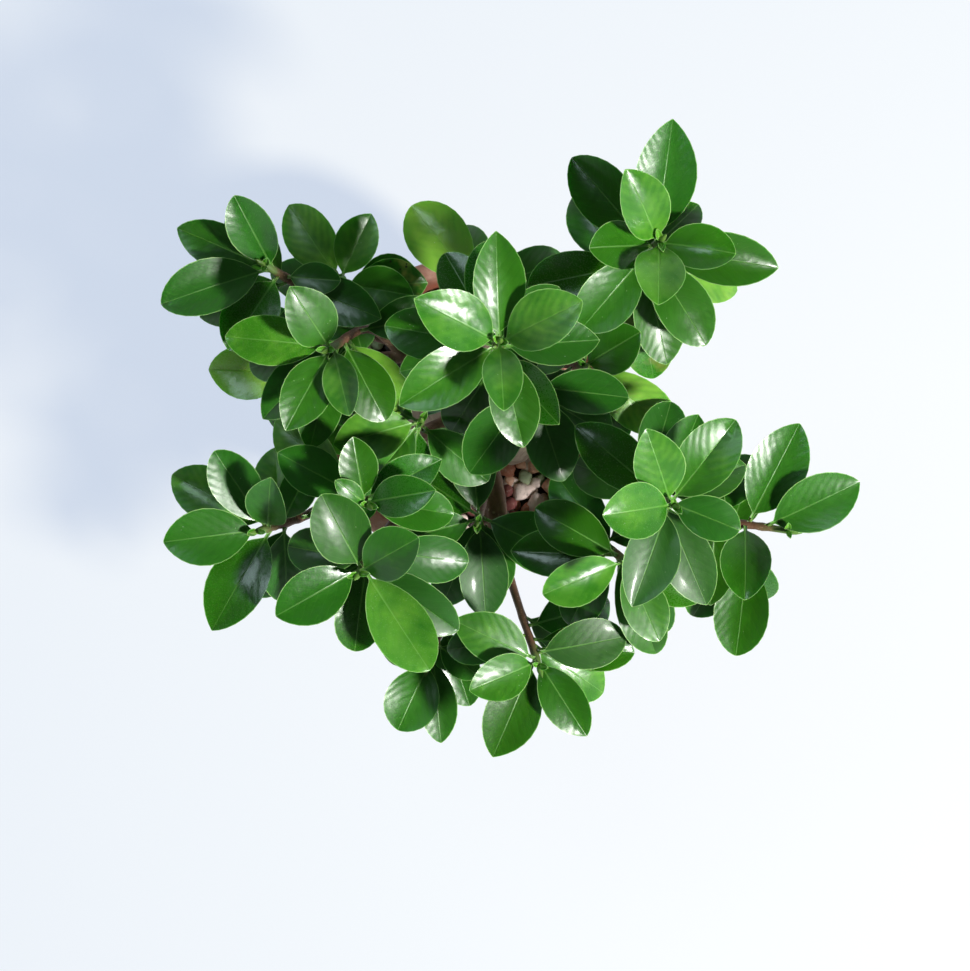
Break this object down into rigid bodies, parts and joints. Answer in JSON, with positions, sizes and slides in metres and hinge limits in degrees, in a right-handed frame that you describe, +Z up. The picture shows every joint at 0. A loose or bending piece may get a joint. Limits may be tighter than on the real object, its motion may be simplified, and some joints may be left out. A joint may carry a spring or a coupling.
{
  "type": "potted bonsai tree",
  "caption": "Small ficus bonsai with a swollen-root trunk and loose shoots of glossy oval leaves, in a round clay pot topped with gravel.",
  "frame": {"origin": "centre of the flat underside of the pot", "axes": "+Z up; seen from above, +X to the right and +Y to the back"},
  "size_m": [0.2576, 0.2329, 0.2858],
  "materials": {
    "clay": "matt fired red-brown clay",
    "earth": "damp dark earth",
    "pebbles": "small matt mixed pebbles",
    "bark": "matt brown-grey bark",
    "leaf": "glossy waxy green"
  },
  "bodies": {
    "root": {"pot": "clay", "soil": "earth", "gravel": "pebbles", "tree": "bark", "shoot_crown": "leaf", "shoot_back_right": "leaf", "shoot_right": "leaf", "shoot_far_right": "leaf", "shoot_right_edge": "leaf", "shoot_right_front": "leaf", "shoot_right_inner": "leaf", "shoot_middle": "leaf", "shoot_left_high": "leaf", "shoot_back_left": "leaf", "shoot_back": "leaf", "shoot_left_edge": "leaf", "shoot_far_left": "leaf", "shoot_left_middle": "leaf", "shoot_left_low": "leaf", "shoot_front_left": "leaf", "shoot_front": "leaf", "shoot_front_low": "leaf", "shoot_inner_left": "leaf", "shoot_inner_front": "leaf"}
  },
  "joints": []
}
